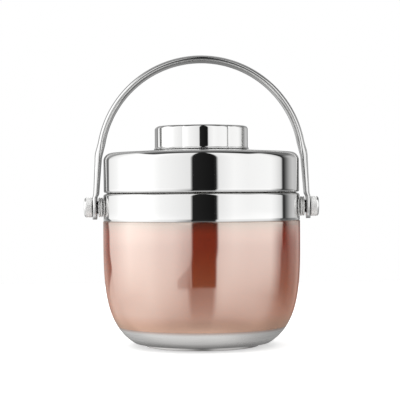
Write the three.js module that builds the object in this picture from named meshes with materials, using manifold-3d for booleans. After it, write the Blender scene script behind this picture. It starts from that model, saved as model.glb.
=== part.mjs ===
// An insulated lunch pot: a double-walled steel vessel, a lid that screws on with helical lugs, and a swinging bail.
// Millimetres, +Z up. The origin is under the middle of the foot, and the bail's pivots lie along X.
import * as THREE from "three";
import { mergeVertices } from "three/addons/utils/BufferGeometryUtils.js";
import Module from "manifold-3d";

const wasm = await Module();
wasm.setup();

// Clearances and sheet
const SEAT_GAP = 0.3; // between pieces that are welded, glued or pressed together
const RUNNING_GAP = 0.4; // between pieces that turn past each other
const OVERRUN = 1; // how far a cutting tool, or the root of a ridge, passes the face that it crosses
const SHEET = 0.6; // drawn steel of the shells, the liner, the lid and the knob
const BAND_SHEET = 0.8; // steel of the collar band
const BASE_SHEET = 1; // steel of the bottom cup

// Facets
const ROUND_STEPS = 44; // round the vessel and the lid
const COVER_STEPS = 20; // round the small cover under the base
const SMALL_STEPS = 16; // round the pivot pieces and the screw
const BELLY_STEPS = 7; // down the curved part of the wall
const HIDDEN_BELLY_STEPS = 4; // down the same curve on the vacuum side
const BASE_STEPS = 3; // up the bottom cup
const LINER_STEPS = 5; // down the curved part of the liner
const SHOULDER_STEPS = 5; // over the lid's shoulder
const EDGE_STEPS = 3; // over a rounded edge
const SMALL_EDGE_STEPS = 2; // over a small or hidden rounded edge

// Vessel: the wall is upright at the top and curves in to the foot along a rounded power curve
const BODY_RADIUS = 72.5;
const WALL_TOP = 91.8; // the lacquered wall ends here, under the collar band
const BELLY_DROP = 1.8; // the curve of the wall starts this far under its top
const BELLY_POLE = -4.7; // height at which the curve of the wall would meet the axis
const BELLY_POWER_SHARE = 3.8;
const BELLY_ROOT_SHARE = 3.55;
const WELD_HEIGHT = 14.8; // the bare steel bottom cup meets the lacquered wall here
const NECK_SHOULDER = 0.7; // height of the step where the wall narrows to pass inside the collar band
const FOOT_RADIUS = 42;
const FOOT_HEIGHT = 2.6;
const FOOT_WIDTH = 2.8;
const BASE_RECESS = 3.2; // the middle of the bottom is raised this far off the table
const COVER_RADIUS = 14; // disc over the point where the vacuum space was sealed
const COVER_THICKNESS = 0.8;
const COVER_EDGE = 0.4;

// Liner
const LINER_POLE = 7.5; // height at which the curve of the liner would meet the axis
const LINER_FLOOR = 12; // underside of the liner's flat floor

// Collar band, a polished ring round the vessel's neck
const COLLAR_STEP = 0.2; // the band stands this far inside the wall below it
const COLLAR_HEIGHT = 20.3;
const COLLAR_EDGE = 2; // radius of the band's top edge

// Mouth ring, the plastic moulding that the lid screws on to
const NECK_FLANGE = 1.5;
const NECK_RISE = 11.9; // height of the sealing rim above the band
const NECK_WALL = 2.5;
const NECK_RIM_EDGE = 0.6; // chamfer of the sealing rim

// Thread: short lugs on the mouth ring hold the lugs inside the lid
const LUG_COUNT = 4;
const THREAD_PITCH = 24; // rise of the lid in one full turn
const LUG_DEPTH = 1.7; // radial height of a lug
const LUG_THICKNESS = 2.2; // at a lug's tip
const LUG_FLANK = 0.5; // a lug is this much thicker at its root, on each side
const NECK_LUG_SPAN = 40; // degrees
const LID_LUG_SPAN = 30; // degrees
const NECK_LUG_RISE = 7.3; // middle of the mouth ring's lugs above the band
const LUG_STEPS = 4;

// Lid
const LID_STEP = 0.5; // the lid's side stands this far inside the vessel's wall
const LID_SEAM = 0.75; // open line between the band and the lid
const LID_HEIGHT = 29.25; // from the seam to the shoulder's top
const LID_SHOULDER = 6; // radius of the shoulder
const LID_HEM = 1.2; // radius of the lower edge, which is turned in
const CROWN_RISE = 1.4;
const PLINTH_RADIUS = 37.2; // raised seat of the knob
const PLINTH_RISE = 1.3;
const PLINTH_SLOPE = 2.4;
const SKIRT_WALL = 1.5; // the plastic inner lid
const SKIRT_INSET = 1; // the inner lid's skirt ends this far above the lid's lower edge
const INNER_LID_PLATE = 1.8;
const PLUG_WALL = 2; // the rim that dips into the mouth and centres the lid
const PLUG_DEPTH = 8.5;
const PLUG_CLEARANCE = 0.8;
const GASKET_THICKNESS = 2;
const GASKET_OVERLAP = 0.2; // the gasket is this much wider than the sealing rim
const FOAM_POCKET_RADIUS = 6.5;
const FOAM_POCKET_DEPTH = 4.5;

// Knob: a pressed cap with six round lobes over a plastic core
const KNOB_LOBES = 6;
const LOBE_RADIUS = 24;
const LOBE_OFFSET = 11.3; // from the axis to the middle of a lobe
const KNOB_TURN = 4.7; // degrees from the front to the nearest lobe
const VALLEY_POWER_SHARE = 200; // the higher, the sharper the valleys between the lobes
const KNOB_HEIGHT = 16.2;
const KNOB_EDGE = 2;
const KNOB_CROWN = 0.3;
const KNOB_CROWN_INSET = 9;
const BEAD_HEIGHT = 0.6; // rolled bead round the knob's foot
const BEAD_DEPTH = 0.5;
const KNOB_STEPS_PER_LOBE = 8;

// Knob screw
const SCREW_RADIUS = 2.5;
const SCREW_HEAD_RADIUS = 5;
const SCREW_HEAD_HEIGHT = 2.6;
const SCREW_LENGTH = 11.5; // above the plinth
const SCREW_SLOT_WIDTH = 1.2;
const SCREW_SLOT_DEPTH = 1.2;

// Pivots of the bail
const PIVOT_SHARE = 0.512; // height of the pivots, as a share of the band's height
const STUD_RADIUS = 3;
const EAR_RADIUS = 7.2;
const EAR_THICKNESS = 1.9;
const EAR_EDGE = 0.6;
const PIVOT_WASHER_THICKNESS = 1.5;
const SPACER_RADIUS = 5.2;
const SPACER_THICKNESS = 0.5;
const BUSH_WALL = 1.1;
const CAP_NUT_RADIUS = 7.3;
const CAP_NUT_THICKNESS = 5.7;
const CAP_NUT_EDGE = 1.8;
const CAP_NUT_WALL = 0.9; // steel left over the end of the stud

// Bail: an oval tube bent to a half circle, with both ends pressed flat and punched
const BAIL_SPREAD = 2; // middle of the tube outside the vessel's wall
const BAIL_RISE = 34.2; // centre of the half circle above the pivots
const BAIL_THICKNESS = 5.6;
const BAIL_WIDTH = 15;
const STRAP_THICKNESS = 3.3; // the pressed ends
const LEG_THICKNESS = 4; // between the pressed end and the pinch
const LEG_LEAN = 1.5; // a leg stands this much wider at its foot than at its top
const LEG_OFFSET = 1.45; // middle of a leg's top outside the arc's middle line
const JOGGLE_START = 6.8; // a leg steps out to its eye from this far above the pivot
const JOGGLE_END = 10.2;
const STRAP_WIDTH = 17.5;
const EYE_RADIUS = 9;
const STRAP_SQUARE_SHARE = 0.35; // below 1 the section is squarer than an ellipse
const PINCH_ANGLE = 11; // degrees of arc over which the tube is pressed flat
const PINCH_OFFSET = 0.7; // middle of the tube outside the arc's middle line, half-way up the pinch
const EYE_STEPS = 4;
const BAIL_STEPS = 22;
const SECTION_STEPS = 12;

// Sizes that follow from those above
const COLLAR_RADIUS = BODY_RADIUS - COLLAR_STEP;
const COLLAR_TOP = WALL_TOP + COLLAR_HEIGHT;
const NECK_RIM = COLLAR_TOP + NECK_RISE;
const LID_RADIUS = BODY_RADIUS - LID_STEP;
const LID_BOTTOM = COLLAR_TOP + LID_SEAM;
const LID_SHOULDER_TOP = LID_BOTTOM + LID_HEIGHT;
const PLINTH_TOP = LID_SHOULDER_TOP + CROWN_RISE + PLINTH_RISE;
const KNOB_BOTTOM = PLINTH_TOP + SEAT_GAP;
const KNOB_TOP = KNOB_BOTTOM + KNOB_HEIGHT;
const SKIRT_RADIUS = LID_RADIUS - SHEET - SEAT_GAP;
const SKIRT_BORE = SKIRT_RADIUS - SKIRT_WALL;
const NECK_LUG_TIP = SKIRT_BORE - RUNNING_GAP;
const NECK_RADIUS = NECK_LUG_TIP - LUG_DEPTH;
const NECK_BORE = NECK_RADIUS - NECK_WALL;
const LID_LUG_TIP = NECK_RADIUS + RUNNING_GAP;
const PLUG_RADIUS = NECK_BORE - PLUG_CLEARANCE;
const PIVOT_HEIGHT = WALL_TOP + PIVOT_SHARE * COLLAR_HEIGHT;
const STUD_BORE = STUD_RADIUS + SEAT_GAP;
const EAR_FACE = COLLAR_RADIUS + EAR_THICKNESS;
const PIVOT_WASHER_START = EAR_FACE + SEAT_GAP;
const SPACER_START = PIVOT_WASHER_START + PIVOT_WASHER_THICKNESS + SEAT_GAP;
const STRAP_START = SPACER_START + SPACER_THICKNESS + SEAT_GAP;
const CAP_NUT_START = STRAP_START + STRAP_THICKNESS + SEAT_GAP;
const BAIL_RADIUS = BODY_RADIUS + BAIL_SPREAD;
const BAIL_CENTRE = PIVOT_HEIGHT + BAIL_RISE;
const FULL_TURN = 360; // degrees

// Materials
const metal = (color, roughness) =>
  new THREE.MeshStandardMaterial({ color, roughness, metalness: 1 });
const plastic = (color, roughness) =>
  new THREE.MeshStandardMaterial({ color, roughness, metalness: 0 });
const LACQUER = new THREE.MeshStandardMaterial({ color: 0xc98a74, roughness: 0.25, metalness: 0.8 });
const POLISHED = metal(0xdfe0e2, 0.05);
const SATIN = metal(0xb9babb, 0.4);
const WHITE_PLASTIC = plastic(0xe9e8e4, 0.5);
const GREY_PLASTIC = plastic(0x8c8d8f, 0.55);
const SILICONE = plastic(0xdadad6, 0.6);
const FOAM = plastic(0xf4f3ee, 0.9);

const radians = (degrees) => THREE.MathUtils.degToRad(degrees);
const at = (radius, height) => new THREE.Vector2(radius, height);

// Geometry tools

// A solid of revolution about Z. The outline runs anticlockwise, with the radius to the right and the height up.
function revolve(outline, steps = ROUND_STEPS) {
  const closed = outline[0].x > 0 ? [...outline, outline[0]] : outline;
  return new THREE.LatheGeometry(closed, steps).rotateX(Math.PI / 2);
}

// A solid of revolution about X, for the pivot pieces. The outline's heights become distances along X.
function revolveAlongX(outline, steps = SMALL_STEPS) {
  return revolve(outline, steps).rotateY(Math.PI / 2);
}

// Points on a rounded edge, from one angle to another in degrees.
function arcPoints(centreRadius, centreHeight, edge, from, to, steps = EDGE_STEPS) {
  return Array.from({ length: steps + 1 }, (_, i) => {
    const angle = radians(THREE.MathUtils.lerp(from, to, i / steps));
    return at(centreRadius + edge * Math.cos(angle), centreHeight + edge * Math.sin(angle));
  });
}

// A closed body through a row of rings with equally many points, with a flat fan over each end.
function ringSolid(rings) {
  const count = rings[0].length;
  const points = rings.flat();
  const index = [];
  for (let r = 0; r + 1 < rings.length; r++) {
    for (let i = 0; i < count; i++) {
      const a = r * count + i;
      const b = r * count + ((i + 1) % count);
      index.push(a, b, b + count, a, b + count, a + count);
    }
  }
  for (const [ring, first, flip] of [[rings[0], 0, true], [rings.at(-1), points.length - count, false]]) {
    const centre = points.length;
    points.push(ring.reduce((sum, p) => sum.add(p), new THREE.Vector3()).divideScalar(count));
    for (let i = 0; i < count; i++) {
      const next = first + ((i + 1) % count);
      index.push(...(flip ? [centre, next, first + i] : [centre, first + i, next]));
    }
  }
  const geometry = new THREE.BufferGeometry().setFromPoints(points);
  geometry.setIndex(index);
  return facingOut(geometry);
}

// The same geometry with its faces turned outwards.
function facingOut(geometry) {
  const position = geometry.getAttribute("position");
  const [a, b, c] = [new THREE.Vector3(), new THREE.Vector3(), new THREE.Vector3()];
  let volume = 0;
  for (let i = 0; i < geometry.index.count; i += 3) {
    a.fromBufferAttribute(position, geometry.index.getX(i));
    b.fromBufferAttribute(position, geometry.index.getX(i + 1));
    c.fromBufferAttribute(position, geometry.index.getX(i + 2));
    volume += a.dot(b.cross(c));
  }
  if (volume < 0) {
    geometry.setIndex(Array.from(geometry.index.array).reverse());
  }
  return geometry;
}

function toManifold(geometry) {
  const bare = new THREE.BufferGeometry().setAttribute("position", geometry.getAttribute("position"));
  bare.setIndex(geometry.index);
  const merged = mergeVertices(bare);
  return new wasm.Manifold(
    new wasm.Mesh({
      numProp: 3,
      vertProperties: merged.attributes.position.array,
      triVerts: new Uint32Array(merged.index.array),
    }),
  );
}

function toGeometry(solid) {
  const mesh = solid.getMesh();
  const geometry = new THREE.BufferGeometry();
  geometry.setAttribute("position", new THREE.BufferAttribute(mesh.vertProperties, 3));
  geometry.setIndex(new THREE.BufferAttribute(mesh.triVerts, 1));
  return geometry;
}

const join = (body, ...others) =>
  toGeometry(others.reduce((solid, other) => solid.add(toManifold(other)), toManifold(body)));
const cut = (body, ...tools) =>
  toGeometry(tools.reduce((solid, tool) => solid.subtract(toManifold(tool)), toManifold(body)));

function piece(name, geometry, material) {
  const mesh = new THREE.Mesh(geometry, material.clone());
  mesh.name = name;
  return mesh;
}

// Vessel

// A point on a drawn wall that is upright at the top and meets the axis at its pole. The share runs from 0 at the top
// to 1 at the pole, and the inset moves the point into the sheet along the wall's normal.
function bellyPoint(radius, top, pole, share, inset = 0) {
  const depth = top - pole;
  const open = 1 - share ** BELLY_POWER_SHARE;
  const bow = radius * open ** (1 / BELLY_ROOT_SHARE);
  const slope = (bow * BELLY_POWER_SHARE * share ** (BELLY_POWER_SHARE - 1)) / (BELLY_ROOT_SHARE * open * depth);
  const length = Math.hypot(1, slope);
  return at(bow - inset / length, top - share * depth + (inset * slope) / length);
}

// Points down a wall between two heights, closer together where it curves most.
function bellyPoints(radius, top, pole, low, steps, inset = 0) {
  const last = (top - low) / (top - pole);
  return Array.from({ length: steps + 1 }, (_, i) =>
    bellyPoint(radius, top, pole, last * Math.sin((i / steps) * (Math.PI / 2)), inset),
  );
}

const BELLY_TOP = WALL_TOP - BELLY_DROP;
const SHELL_NECK_RADIUS = COLLAR_RADIUS - BAND_SHEET - SEAT_GAP;
const NECK_FLANGE_TOP = COLLAR_TOP - BAND_SHEET - SEAT_GAP;
const LINER_FLANGE_TOP = NECK_FLANGE_TOP - NECK_FLANGE - SEAT_GAP;
const SHELL_RIM = LINER_FLANGE_TOP - SHEET - SEAT_GAP;
const NECK_FLANGE_RADIUS = COLLAR_RADIUS - COLLAR_EDGE;

function outerShell() {
  const low = WELD_HEIGHT + SEAT_GAP / 2;
  const outside = bellyPoints(BODY_RADIUS, BELLY_TOP, BELLY_POLE, low, BELLY_STEPS).reverse();
  const inside = bellyPoints(BODY_RADIUS, BELLY_TOP, BELLY_POLE, low, HIDDEN_BELLY_STEPS, SHEET);
  return revolve([
    ...outside,
    at(BODY_RADIUS, WALL_TOP - SEAT_GAP - NECK_SHOULDER),
    at(SHELL_NECK_RADIUS, WALL_TOP - SEAT_GAP),
    at(SHELL_NECK_RADIUS, SHELL_RIM),
    at(SHELL_NECK_RADIUS - SHEET, SHELL_RIM),
    at(SHELL_NECK_RADIUS - SHEET, WALL_TOP - SEAT_GAP),
    ...inside,
  ]);
}

function baseCup() {
  const high = WELD_HEIGHT - SEAT_GAP / 2;
  const lowShare = (BELLY_TOP - FOOT_HEIGHT) / (BELLY_TOP - BELLY_POLE);
  const highShare = (BELLY_TOP - high) / (BELLY_TOP - BELLY_POLE);
  const wall = (inset) =>
    Array.from({ length: BASE_STEPS + 1 }, (_, i) => {
      const share = THREE.MathUtils.lerp(lowShare, highShare, i / BASE_STEPS);
      return bellyPoint(BODY_RADIUS, BELLY_TOP, BELLY_POLE, share, inset);
    });
  const floor = BASE_RECESS + BASE_SHEET;
  return revolve([
    at(0, BASE_RECESS),
    at(FOOT_RADIUS - FOOT_WIDTH, BASE_RECESS),
    at(FOOT_RADIUS - FOOT_WIDTH, 0),
    at(FOOT_RADIUS, 0),
    at(FOOT_RADIUS, FOOT_HEIGHT),
    ...wall(0),
    ...wall(BASE_SHEET).reverse(),
    at(FOOT_RADIUS, floor),
    at(0, floor),
  ]);
}

function baseCover() {
  const top = BASE_RECESS - SEAT_GAP;
  return revolve(
    [
      at(0, top - COVER_THICKNESS),
      at(COVER_RADIUS - COVER_EDGE, top - COVER_THICKNESS),
      at(COVER_RADIUS, top - COVER_THICKNESS + COVER_EDGE),
      at(COVER_RADIUS, top),
      at(0, top),
    ],
    COVER_STEPS,
  );
}

function innerLiner() {
  const radius = NECK_BORE + SHEET;
  const outside = bellyPoints(radius, BELLY_TOP, LINER_POLE, LINER_FLOOR, LINER_STEPS).reverse();
  const inside = bellyPoints(radius, BELLY_TOP, LINER_POLE, LINER_FLOOR, LINER_STEPS, SHEET);
  return revolve([
    at(0, LINER_FLOOR),
    ...outside,
    at(radius, LINER_FLANGE_TOP - SHEET),
    at(NECK_FLANGE_RADIUS, LINER_FLANGE_TOP - SHEET),
    at(NECK_FLANGE_RADIUS, LINER_FLANGE_TOP),
    at(NECK_BORE, LINER_FLANGE_TOP),
    ...inside,
    at(0, LINER_FLOOR + SHEET),
  ]);
}

function collarBand() {
  const edgeHeight = COLLAR_TOP - COLLAR_EDGE;
  const edgeRadius = COLLAR_RADIUS - COLLAR_EDGE;
  const mouth = NECK_RADIUS + SEAT_GAP;
  return revolve([
    at(COLLAR_RADIUS, WALL_TOP),
    ...arcPoints(edgeRadius, edgeHeight, COLLAR_EDGE, 0, 90),
    at(mouth, COLLAR_TOP),
    at(mouth, COLLAR_TOP - BAND_SHEET),
    ...arcPoints(edgeRadius, edgeHeight, COLLAR_EDGE - BAND_SHEET, 90, 0, SMALL_EDGE_STEPS),
    at(COLLAR_RADIUS - BAND_SHEET, WALL_TOP),
  ]);
}

// Thread

// One lug: a short ridge of trapezoid section that climbs along the helix of the thread.
function lug(rootRadius, tipRadius, height, span, angle) {
  const half = LUG_THICKNESS / 2;
  const section = [
    at(rootRadius, -half - LUG_FLANK),
    at(tipRadius, -half),
    at(tipRadius, half),
    at(rootRadius, half + LUG_FLANK),
  ];
  const rings = Array.from({ length: LUG_STEPS + 1 }, (_, i) => {
    const turn = span * (i / LUG_STEPS - 1 / 2);
    const climb = (THREAD_PITCH * turn) / FULL_TURN;
    const direction = radians(angle + turn);
    return section.map(
      (p) => new THREE.Vector3(p.x * Math.cos(direction), p.x * Math.sin(direction), height + climb + p.y),
    );
  });
  return ringSolid(rings);
}

const lugs = (rootRadius, tipRadius, height, span) =>
  Array.from({ length: LUG_COUNT }, (_, i) =>
    lug(rootRadius, tipRadius, height, span, (FULL_TURN * i) / LUG_COUNT),
  );

// The lid's lugs hang one clearance under the mouth ring's lugs, measured at the thick roots.
const NECK_LUG_HEIGHT = COLLAR_TOP + NECK_LUG_RISE;
const LID_LUG_HEIGHT = NECK_LUG_HEIGHT - LUG_THICKNESS - LUG_FLANK - RUNNING_GAP;

function neckRing() {
  const flangeBottom = NECK_FLANGE_TOP - NECK_FLANGE;
  const ring = revolve([
    at(NECK_BORE, flangeBottom),
    at(NECK_FLANGE_RADIUS, flangeBottom),
    at(NECK_FLANGE_RADIUS, NECK_FLANGE_TOP),
    at(NECK_RADIUS, NECK_FLANGE_TOP),
    at(NECK_RADIUS, NECK_RIM - NECK_RIM_EDGE),
    at(NECK_RADIUS - NECK_RIM_EDGE, NECK_RIM),
    at(NECK_BORE + NECK_RIM_EDGE, NECK_RIM),
    at(NECK_BORE, NECK_RIM - NECK_RIM_EDGE),
  ]);
  return join(ring, ...lugs(NECK_RADIUS - OVERRUN, NECK_LUG_TIP, NECK_LUG_HEIGHT, NECK_LUG_SPAN));
}

// Lid

const CEILING = NECK_RIM + GASKET_THICKNESS + 2 * SEAT_GAP;
const PLATE_TOP = CEILING + INNER_LID_PLATE;
const SHOULDER_RADIUS = LID_RADIUS - LID_SHOULDER;
const SHOULDER_HEIGHT = LID_SHOULDER_TOP - LID_SHOULDER;

// The lid's outer surface from its lower edge to the middle, or a parallel surface inside it.
function lidContour(inset, hemSteps, shoulderSteps) {
  const top = PLINTH_TOP - inset;
  return [
    ...arcPoints(LID_RADIUS - LID_HEM, LID_BOTTOM + LID_HEM, LID_HEM - inset, -90, 0, hemSteps),
    ...arcPoints(SHOULDER_RADIUS, SHOULDER_HEIGHT, LID_SHOULDER - inset, 0, 90, shoulderSteps),
    at(PLINTH_RADIUS + PLINTH_SLOPE - inset, LID_SHOULDER_TOP + CROWN_RISE - inset),
    at(PLINTH_RADIUS - inset, top),
  ];
}

function lidShell() {
  const hole = SCREW_RADIUS + SEAT_GAP;
  return revolve([
    ...lidContour(0, SMALL_EDGE_STEPS, SHOULDER_STEPS),
    at(hole, PLINTH_TOP),
    at(hole, PLINTH_TOP - SHEET),
    ...lidContour(SHEET, 1, EDGE_STEPS).reverse(),
  ]);
}

function innerLid() {
  const skirtBottom = LID_BOTTOM + SKIRT_INSET;
  const plugBottom = CEILING - PLUG_DEPTH;
  const cap = revolve([
    at(0, CEILING),
    at(PLUG_RADIUS - PLUG_WALL, CEILING),
    at(PLUG_RADIUS - PLUG_WALL, plugBottom),
    at(PLUG_RADIUS, plugBottom),
    at(PLUG_RADIUS, CEILING),
    at(SKIRT_BORE, CEILING),
    at(SKIRT_BORE, skirtBottom),
    at(SKIRT_RADIUS, skirtBottom),
    at(SKIRT_RADIUS, PLATE_TOP),
    at(0, PLATE_TOP),
  ]);
  return join(cap, ...lugs(SKIRT_BORE + OVERRUN, LID_LUG_TIP, LID_LUG_HEIGHT, LID_LUG_SPAN));
}

function lidGasket() {
  const inner = PLUG_RADIUS + RUNNING_GAP;
  const outer = NECK_RADIUS + GASKET_OVERLAP;
  const bottom = NECK_RIM + SEAT_GAP;
  return revolve([
    at(inner, bottom),
    at(outer, bottom),
    at(outer, bottom + GASKET_THICKNESS),
    at(inner, bottom + GASKET_THICKNESS),
  ]);
}

function lidInsulation() {
  const inset = SHEET + SEAT_GAP;
  const bottom = PLATE_TOP + SEAT_GAP;
  const top = LID_SHOULDER_TOP + CROWN_RISE - inset;
  return revolve([
    at(0, bottom),
    at(LID_RADIUS - inset, bottom),
    ...arcPoints(SHOULDER_RADIUS, SHOULDER_HEIGHT, LID_SHOULDER - inset, 0, 90),
    at(PLINTH_RADIUS, top),
    at(FOAM_POCKET_RADIUS, top),
    at(FOAM_POCKET_RADIUS, top - FOAM_POCKET_DEPTH),
    at(0, top - FOAM_POCKET_DEPTH),
  ]);
}

// Knob

// Radius of the lobed outline in a direction: the farthest of the six lobe circles, with the valleys rounded.
function knobRadius(angle) {
  let sum = 0;
  for (let i = 0; i < KNOB_LOBES; i++) {
    const turn = angle - radians((FULL_TURN * i) / KNOB_LOBES);
    const reach = LOBE_OFFSET * Math.cos(turn) + Math.sqrt(LOBE_RADIUS ** 2 - (LOBE_OFFSET * Math.sin(turn)) ** 2);
    sum += (reach / LOBE_RADIUS) ** VALLEY_POWER_SHARE;
  }
  return LOBE_RADIUS * sum ** (1 / VALLEY_POWER_SHARE);
}

// A ring that stands inside the lobed outline by an inset.
function knobRing({ x: inset, y: height }) {
  const steps = KNOB_LOBES * KNOB_STEPS_PER_LOBE;
  const front = radians(KNOB_TURN) - Math.PI / 2;
  return Array.from({ length: steps }, (_, i) => {
    const turn = (2 * Math.PI * i) / steps;
    const radius = knobRadius(turn) - inset;
    return new THREE.Vector3(radius * Math.cos(front + turn), radius * Math.sin(front + turn), height);
  });
}

// Insets and heights down the outside of the knob's cap, or down a parallel surface inside it.
function knobContour(inset, steps) {
  const edgeHeight = KNOB_TOP - KNOB_CROWN - KNOB_EDGE;
  return [
    at(KNOB_CROWN_INSET, KNOB_TOP - inset),
    ...arcPoints(-KNOB_EDGE, edgeHeight, KNOB_EDGE - inset, 90, 0, steps).map((p) => at(-p.x, p.y)),
  ];
}

function lidKnob() {
  const bead = KNOB_BOTTOM + BEAD_HEIGHT;
  return ringSolid(
    [
      ...knobContour(0, EDGE_STEPS),
      at(0, bead + BEAD_DEPTH),
      at(-BEAD_DEPTH, bead),
      at(-BEAD_DEPTH, KNOB_BOTTOM),
      at(SHEET, KNOB_BOTTOM),
      ...knobContour(SHEET, SMALL_EDGE_STEPS).reverse(),
    ].map(knobRing),
  );
}

function knobCore() {
  const bore = SCREW_RADIUS + SEAT_GAP;
  const boreTop = PLINTH_TOP + SCREW_LENGTH + SEAT_GAP;
  const inset = SHEET + SEAT_GAP;
  const body = ringSolid([...knobContour(inset, 1).slice(1), at(inset, KNOB_BOTTOM)].map(knobRing));
  const drill = revolve(
    [at(0, KNOB_BOTTOM - OVERRUN), at(bore, KNOB_BOTTOM - OVERRUN), at(bore, boreTop), at(0, boreTop)],
    SMALL_STEPS,
  );
  return cut(body, drill);
}

function knobScrew() {
  const headTop = PLINTH_TOP - SHEET - SEAT_GAP;
  const headBottom = headTop - SCREW_HEAD_HEIGHT;
  const screw = revolve(
    [
      at(0, headBottom),
      at(SCREW_HEAD_RADIUS, headBottom),
      at(SCREW_HEAD_RADIUS, headTop),
      at(SCREW_RADIUS, headTop),
      at(SCREW_RADIUS, PLINTH_TOP + SCREW_LENGTH),
      at(0, PLINTH_TOP + SCREW_LENGTH),
    ],
    SMALL_STEPS,
  );
  const slot = new THREE.BoxGeometry(
    2 * (SCREW_HEAD_RADIUS + OVERRUN),
    SCREW_SLOT_WIDTH,
    SCREW_SLOT_DEPTH + OVERRUN,
  ).translate(0, 0, headBottom + (SCREW_SLOT_DEPTH - OVERRUN) / 2);
  return cut(screw, slot);
}

// Pivots: each is modelled on the right, along X from the collar band outwards

function washer(start, thickness, radius, edge) {
  const end = start + thickness;
  return revolveAlongX([
    at(STUD_BORE, start),
    at(radius - edge, start),
    at(radius, start + edge),
    at(radius, end - edge),
    at(radius - edge, end),
    at(STUD_BORE, end),
  ]);
}

// The ear is welded to the band, so its back is hollowed to the band's curve.
function pivotEar() {
  const back = COLLAR_RADIUS - OVERRUN;
  const ear = washer(back, EAR_FACE - back, EAR_RADIUS, EAR_EDGE);
  const band = new THREE.CylinderGeometry(
    COLLAR_RADIUS + SEAT_GAP,
    COLLAR_RADIUS + SEAT_GAP,
    COLLAR_HEIGHT,
    2 * ROUND_STEPS,
  ).rotateX(Math.PI / 2);
  return cut(ear, band);
}

function pivotStud() {
  const start = COLLAR_RADIUS + 2 * SEAT_GAP;
  const end = CAP_NUT_START + CAP_NUT_THICKNESS - CAP_NUT_WALL - SEAT_GAP;
  return revolveAlongX([at(0, start), at(STUD_RADIUS, start), at(STUD_RADIUS, end), at(0, end)]);
}

function capNut() {
  const end = CAP_NUT_START + CAP_NUT_THICKNESS;
  return revolveAlongX([
    at(STUD_BORE, CAP_NUT_START),
    at(CAP_NUT_RADIUS - EAR_EDGE, CAP_NUT_START),
    at(CAP_NUT_RADIUS, CAP_NUT_START + EAR_EDGE),
    ...arcPoints(CAP_NUT_RADIUS - CAP_NUT_EDGE, end - CAP_NUT_EDGE, CAP_NUT_EDGE, 0, 90),
    at(0, end),
    at(0, end - CAP_NUT_WALL),
    at(STUD_BORE, end - CAP_NUT_WALL),
  ]);
}

function bailBush() {
  const outer = STUD_BORE + BUSH_WALL;
  return revolveAlongX([
    at(STUD_BORE, STRAP_START),
    at(outer, STRAP_START),
    at(outer, STRAP_START + STRAP_THICKNESS),
    at(STUD_BORE, STRAP_START + STRAP_THICKNESS),
  ]);
}

// Bail

// One section of the bail. The middle lies in the XZ plane, the tilt in degrees turns the thickness from X towards Z,
// and a squareness below 1 makes the oval more like a flat strap.
function bailSection(x, z, tilt, thickness, width, square) {
  const power = (value) => Math.sign(value) * Math.abs(value) ** square;
  return Array.from({ length: SECTION_STEPS }, (_, i) => {
    const angle = (2 * Math.PI * i) / SECTION_STEPS;
    const across = (thickness / 2) * power(Math.cos(angle));
    const along = (width / 2) * power(Math.sin(angle));
    return new THREE.Vector3(
      x + across * Math.cos(radians(tilt)),
      along,
      z + across * Math.sin(radians(tilt)),
    );
  });
}

// The right-hand end, from the bottom of its round eye up to where the tube keeps its full section.
function bailEnd() {
  const eyeX = STRAP_START + STRAP_THICKNESS / 2;
  const legX = BAIL_RADIUS + LEG_OFFSET;
  const flat = (x, z, thickness, width) => bailSection(x, z, 0, thickness, width, STRAP_SQUARE_SHARE);
  const eye = Array.from({ length: EYE_STEPS }, (_, i) => {
    const angle = radians((90 * (i + 1 / 2)) / EYE_STEPS);
    const width = 2 * EYE_RADIUS * Math.sin(angle);
    return flat(eyeX, PIVOT_HEIGHT - EYE_RADIUS * Math.cos(angle), STRAP_THICKNESS, width);
  });
  const half = PINCH_ANGLE / 2;
  const pinchRadius = BAIL_RADIUS + PINCH_OFFSET;
  return [
    ...eye,
    flat(eyeX, PIVOT_HEIGHT + JOGGLE_START, STRAP_THICKNESS, (2 * EYE_RADIUS + STRAP_WIDTH) / 2),
    flat(legX + LEG_LEAN, PIVOT_HEIGHT + JOGGLE_END, LEG_THICKNESS, STRAP_WIDTH),
    flat(legX, BAIL_CENTRE, (LEG_THICKNESS + BAIL_THICKNESS) / 2, STRAP_WIDTH),
    bailSection(
      pinchRadius * Math.cos(radians(half)),
      BAIL_CENTRE + pinchRadius * Math.sin(radians(half)),
      half,
      BAIL_THICKNESS,
      (BAIL_WIDTH + STRAP_WIDTH) / 2,
      (1 + STRAP_SQUARE_SHARE) / 2,
    ),
  ];
}

function bail() {
  const arc = Array.from({ length: BAIL_STEPS + 1 }, (_, i) => {
    const angle = THREE.MathUtils.lerp(PINCH_ANGLE, FULL_TURN / 2 - PINCH_ANGLE, i / BAIL_STEPS);
    const x = BAIL_RADIUS * Math.cos(radians(angle));
    const z = BAIL_CENTRE + BAIL_RADIUS * Math.sin(radians(angle));
    return bailSection(x, z, angle, BAIL_THICKNESS, BAIL_WIDTH, 1);
  });
  const right = bailEnd();
  const left = right.map((ring) => ring.map((p) => new THREE.Vector3(-p.x, p.y, p.z))).reverse();
  const eyeBore = STUD_BORE + BUSH_WALL + SEAT_GAP;
  const reach = 2 * (STRAP_START + STRAP_THICKNESS + OVERRUN);
  const punch = new THREE.CylinderGeometry(eyeBore, eyeBore, reach, SMALL_STEPS);
  punch.rotateZ(Math.PI / 2).translate(0, 0, PIVOT_HEIGHT);
  return cut(ringSolid([...right, ...arc, ...left]), punch);
}

// Assembly

function vesselGroup() {
  const group = new THREE.Group();
  group.add(
    piece("outer_shell", outerShell(), LACQUER),
    piece("base_cup", baseCup(), SATIN),
    piece("base_cover", baseCover(), SATIN),
    piece("inner_liner", innerLiner(), SATIN),
    piece("collar_band", collarBand(), POLISHED),
    piece("neck_ring", neckRing(), WHITE_PLASTIC),
  );
  return group;
}

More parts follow.
